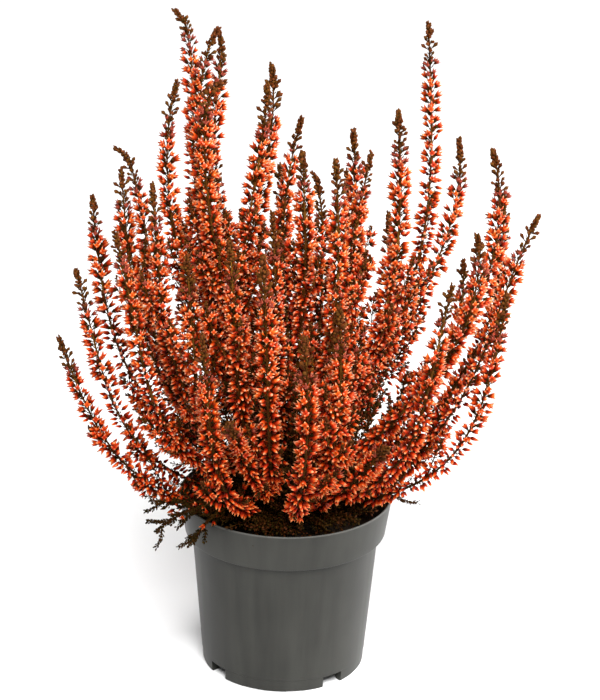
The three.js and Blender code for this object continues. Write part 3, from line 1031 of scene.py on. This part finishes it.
def noise(tree, coordinates, scale, detail=2.0, stretch=(1, 1, 1)):
    """Soft noise from 0 to 1 on the coordinates, stretched along their axes."""
    mapping = add(tree, "Mapping", {"Vector": coordinates, "Scale": stretch})
    inputs = {"Vector": mapping.outputs["Vector"], "Scale": scale, "Detail": detail}
    return add(tree, "TexNoise", inputs).outputs["Fac"]


def by_strip(tree, uv, scale, to_low, to_high, low=0.3, high=0.7):
    """A value that differs from strip to strip of the map."""
    return ranged(tree, noise(tree, uv, scale, 1.0, (1, 0, 0)), low, high, to_low, to_high)


def by_height(tree, low, high, to_low, to_high):
    """A value that runs from one number to another between two heights."""
    parts = add(tree, "SeparateXYZ", {"Vector": place(tree)})
    return ranged(tree, parts.outputs["Z"], low, high, to_low, to_high)


def place(tree):
    """A point's place in the object's own coordinates."""
    return add(tree, "TexCoord", {}).outputs["Object"]


def grey(tree, value):
    """A value as a colour."""
    inputs = dict.fromkeys(("Red", "Green", "Blue"), value)
    return add(tree, "CombineColor", inputs).outputs["Color"]


def blended(tree, factor, first, second, kind="MIX"):
    """Two colours mixed by a factor."""
    node = add(tree, "Mix", {}, data_type="RGBA", blend_type=kind)
    sockets = [s for s in node.inputs if s.enabled]
    for socket, value in zip(sockets, (factor, first, second)):
        plug(tree, socket, value)
    return next(s for s in node.outputs if s.enabled)


def times(tree, colour, second):
    """Two colours multiplied."""
    return blended(tree, 1.0, colour, second, "MULTIPLY")


def dress(tree, surface, colour, grain, roughness, relief, strength, distance=0.0002):
    """Gives the surface its colour, a roughness that runs between two numbers with the
    grain, and bump from the relief."""
    tree.links.new(colour, surface.inputs["Base Color"])
    tree.links.new(ranged(tree, grain, 0.2, 0.8, *roughness), surface.inputs["Roughness"])
    inputs = {"Height": relief, "Strength": strength, "Distance": distance}
    tree.links.new(add(tree, "Bump", inputs).outputs["Normal"], surface.inputs["Normal"])


def map_coordinates(tree):
    """The plant's map: the vector, its sideways share and its upward share."""
    uv = add(tree, "UVMap", {}, uv_map="OFBake").outputs["UV"]
    parts = add(tree, "SeparateXYZ", {"Vector": uv})
    return uv, parts.outputs["X"], parts.outputs["Y"]


def sepal_finish():
    """Satin sepals: dark red-brown at the foot, orange-red in the middle, peach at the tip, which
    is partly the tip's own colour and partly a painted highlight.
    Neighbouring strips of the map are different buds, from orange to pinkish red. Low on
    the plant all are a deeper red, and darker as painted shade."""
    material, tree, surface = shader("sepal_satin", 0.34, 0.045)
    uv, strip, height = map_coordinates(tree)
    along = ranged(tree, height, *SEPAL_BAND)
    # The pale peach stops near the tip are partly the tip's own colour and partly a painted
    # highlight.
    orange = ramp(tree, along, [
        (0.0, (0.02, 0.004, 0.0003)), (0.16, (0.07, 0.006, 0.0003)),
        (0.42, (0.34, 0.024, 0.0005)), (0.67, (0.84, 0.132, 0.012)),
        (0.87, (1.0, 0.5, 0.23)), (1.0, (1.0, 0.57, 0.31)),
    ])
    red = ramp(tree, along, [
        (0.0, (0.014, 0.002, 0.0003)), (0.16, (0.05, 0.003, 0.0003)),
        (0.42, (0.27, 0.009, 0.0006)), (0.67, (0.72, 0.06, 0.014)),
        (0.87, (0.98, 0.4, 0.25)), (1.0, (1.0, 0.48, 0.34)),
    ])
    colour = blended(tree, by_strip(tree, uv, 34, 0.0, 1.0, 0.38, 0.62), orange, red)
    colour = times(tree, colour, grey(tree, by_strip(tree, uv, 53, 0.4, 1.15)))
    # Painted shade: low on the plant the sepals are darkened, and also made a deeper red.
    painted_shade_height = by_height(tree, 0.12, 0.23, 0.0, 1.0)
    shade_and_red_low = ramp(tree, painted_shade_height, [(0.0, (0.82, 0.58, 0.36)), (1.0, (1, 1, 1))])
    colour = times(tree, colour, shade_and_red_low)
    young = ranged(tree, strip, YOUNG_STRIPS[1], FULL_STRIPS[0], 1.0, 0.0)
    brown = ramp(tree, along, [
        (0.0, (0.03, 0.007, 0.003)), (0.6, (0.2, 0.03, 0.016)), (1.0, (0.5, 0.13, 0.08)),
    ])
    colour = blended(tree, young, colour, brown)
    veins = noise(tree, uv, 60, 2.0, (14, 1, 1))
    dress(tree, surface, colour, veins, (0.28, 0.46), veins, 0.25)
    return material


def leaf_finish():
    """Scale leaves: strips of the map run from dark olive green to dry brown. Low on the plant
    they are darker, as painted shade.
    """
    material, tree, surface = shader("scale_leaf", 0.6, 0.03)
    uv, strip, height = map_coordinates(tree)
    along = ranged(tree, height, *LEAF_BAND)
    colour = ramp(tree, strip, [
        (0.0, (0.016, 0.013, 0.002)), (0.35, (0.052, 0.029, 0.004)),
        (0.6, (0.074, 0.027, 0.005)), (0.8, (0.056, 0.014, 0.003)), (1.0, (0.108, 0.034, 0.011)),
    ])
    tip = ramp(tree, along, [
        (0.0, (0.5, 0.45, 0.4)), (0.6, (0.9, 0.9, 0.9)), (1.0, (1.5, 1.35, 1.1)),
    ])
    colour = times(tree, colour, tip)
    colour = times(tree, colour, grey(tree, by_strip(tree, uv, 47, 0.6, 1.35)))
    # Painted shade: the leaves are darker low on the plant.
    colour = times(tree, colour, grey(tree, by_height(tree, 0.12, 0.25, 0.55, 1.15)))
    grain = noise(tree, uv, 80, 2.0, (6, 1, 1))
    dress(tree, surface, colour, grain, (0.5, 0.72), grain, 0.3)
    return material


def bark_finish():
    """Thin red-brown bark, paler and more orange in patches along the stem, and darker low on
    the plant as painted shade.
    """
    material, tree, surface = shader("thin_bark", 0.6, 0.03)
    coordinates = place(tree)
    patches = noise(tree, coordinates, 70, 3.0)
    colour = ramp(tree, patches, [
        (0.3, (0.034, 0.009, 0.001)), (0.5, (0.08, 0.024, 0.003)), (0.7, (0.17, 0.072, 0.01)),
    ])
    # Painted shade: the bark is darker low on the plant.
    colour = times(tree, colour, grey(tree, by_height(tree, 0.12, 0.25, 0.45, 1.1)))
    fibres = noise(tree, coordinates, 600, 2.0, (1, 1, 0.2))
    dress(tree, surface, colour, fibres, (0.48, 0.72), fibres, 0.4)
    return material


def pot_finish():
    """Half matt grey plastic with faint upright streaks and a fine grain, with a painted
    highlight along the lip, which is paler."""
    material, tree, surface = shader("grey_plastic", 0.5, 0.26)
    coordinates = place(tree)
    streaks = noise(tree, coordinates, 160, 3.0, (1, 1, 0.04))
    clouds = noise(tree, coordinates, 22, 3.0)
    mixed = blended(tree, 0.5, grey(tree, streaks), grey(tree, clouds))
    colour = ramp(tree, mixed, [(0.3, (0.0148, 0.0148, 0.0122)), (0.7, (0.0285, 0.0285, 0.0242))])
    # Painted highlight: a paler band along the top of the lip.
    lip = by_height(tree, POT_HEIGHT - 0.001, POT_HEIGHT - 0.0002, 0.0, 1.0)
    colour = blended(tree, lip, colour, (0.075, 0.075, 0.068, 1.0))
    grain = noise(tree, coordinates, 900, 2.0)
    dress(tree, surface, colour, streaks, (0.4, 0.54), grain, 0.12)
    return material


def compost_finish():
    """Dark damp compost with paler fibres."""
    material, tree, surface = shader("dark_compost", 0.9, 0.1)
    grain = noise(tree, place(tree), 420, 4.0)
    colour = ramp(tree, grain, [
        (0.3, (0.008, 0.005, 0.003)), (0.55, (0.024, 0.014, 0.008)), (0.8, (0.07, 0.042, 0.022)),
    ])
    dress(tree, surface, colour, grain, (0.95, 0.75), grain, 0.8, 0.0008)
    return material


# Stage

FLOOR_SIZE = 12
FLOOR_GREY = 0.86
SKY_STRENGTH = 0.16
SUN_STRENGTH = 4.1
SUN_SPREAD = math.radians(34)
SUN_TILT = (math.radians(40), math.radians(5), 0)
PLANT_MIDDLE = Vector((0, 0, 0.18))


def stage():
    """A pale floor with plain soft studio light."""
    bpy.ops.mesh.primitive_plane_add(size=FLOOR_SIZE)
    floor = bpy.context.object
    floor.name = "floor"
    material, _, surface = shader("floor_paper", 0.9)
    surface.inputs["Base Color"].default_value = (FLOOR_GREY, FLOOR_GREY, FLOOR_GREY, 1)
    floor.data.materials.append(material)
    world = bpy.data.worlds.new("studio")
    bpy.context.scene.world = world
    world.use_nodes = True
    background = next(n for n in world.node_tree.nodes if n.type == "BACKGROUND")
    background.inputs["Color"].default_value = (1, 1, 1, 1)
    background.inputs["Strength"].default_value = SKY_STRENGTH
    sun = bpy.data.lights.new("overhead", "SUN")
    sun.energy = SUN_STRENGTH
    sun.angle = SUN_SPREAD
    linked("overhead", sun).rotation_euler = SUN_TILT
    soft_light("key", (0.1, -1.2, 1.2), 0.6, 14)
    soft_light("fill", (1.2, 0.15, 0.6), 1.0, 32)


def soft_light(name, spot, size, power):
    """A square lamp that faces the middle of the plant."""
    lamp = bpy.data.lights.new(name, "AREA")
    lamp.size = size
    lamp.energy = power
    holder = linked(name, lamp)
    holder.location = spot
    aim = PLANT_MIDDLE - holder.location
    holder.rotation_euler = aim.to_track_quat("-Z", "Y").to_euler()


# The camera, where it stood for the photo
CAMERA_PLACE = (-0.0011, -1.232, 0.6708)
CAMERA_PITCH = 0.373
CAMERA_YAW = 0.006
CAMERA_ROLL = 0.021
FOCAL_PIXELS = 2400
FRAME_PIXELS = 700
SENSOR = 36.0


def camera():
    """The camera looks down by its pitch, turned to the right by its yaw and tilted by its
    roll. The lens is the focal length in pixels over the frame's long side, on the sensor."""
    data = bpy.data.cameras.new("camera")
    data.sensor_width = SENSOR
    data.lens = FOCAL_PIXELS / FRAME_PIXELS * SENSOR
    data.clip_start = 0.05
    data.clip_end = 50
    holder = linked("camera", data)
    ahead = math.cos(CAMERA_PITCH)
    across, along = math.sin(CAMERA_YAW) * ahead, math.cos(CAMERA_YAW) * ahead
    forward = Vector((across, along, -math.sin(CAMERA_PITCH)))
    level = forward.cross(Vector((0, 0, 1))).normalized()
    upward = level.cross(forward)
    right = math.cos(CAMERA_ROLL) * level + math.sin(CAMERA_ROLL) * upward
    top = math.cos(CAMERA_ROLL) * upward - math.sin(CAMERA_ROLL) * level
    turn = Matrix((right, top, -forward)).transposed()
    holder.matrix_world = Matrix.Translation(CAMERA_PLACE) @ turn.to_4x4()
    bpy.context.scene.camera = holder


camera()
stage()
bpy.context.scene.view_settings.view_transform = "Standard"

# In the order of SEPAL, LEAF and BARK
finishes = [sepal_finish(), leaf_finish(), bark_finish()]
for node in SPIKES:
    flower_spike(node, finishes)
for node in LEAFY_SHOOTS:
    leafy_shoot(node, finishes)
woody_crown(finishes)
dry_foliage(finishes)
pot(pot_finish())
compost(compost_finish())
